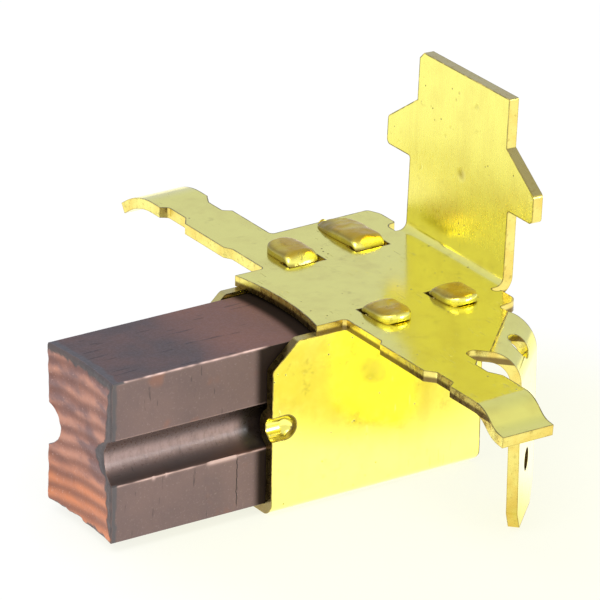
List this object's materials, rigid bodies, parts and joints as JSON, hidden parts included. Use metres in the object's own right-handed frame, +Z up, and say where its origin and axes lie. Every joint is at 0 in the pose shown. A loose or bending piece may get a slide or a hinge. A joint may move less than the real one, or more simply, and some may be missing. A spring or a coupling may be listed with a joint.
{
  "type": "carbon brush",
  "caption": "Sliding carbon brush in a folded brass box clinched under a stamped terminal plate with side arms, a barbed upright and a push-on blade.",
  "frame": {"origin": "middle of the flat underside of the brush box, between its mouth and its rear edge and between its side walls", "axes": "+X from the contact face through the box toward the spring seat, +Y toward the arm on the side without the blade, +Z up from the box underside to the terminal plate"},
  "size_m": [0.0325, 0.0484, 0.0276],
  "materials": {
    "graphite": "satin",
    "box_brass": "polished",
    "plate_brass": "polished",
    "spring_steel": "satin",
    "copper_braid": "satin"
  },
  "bodies": {
    "holder": {"brush_box": "box_brass", "terminal_plate": "plate_brass", "pressure_spring": "spring_steel", "shunt_lead": "copper_braid"},
    "brush": {"carbon_brush": "graphite"}
  },
  "joints": [
    {"name": "brush_slide", "type": "slide", "parent": "holder", "child": "brush", "axis": [1, 0, 0], "range_m": [0, 0.0065], "stiffness_N_per_m": 150, "springref_m": -0.008, "deforming": ["pressure_spring", "shunt_lead"]}
  ]
}
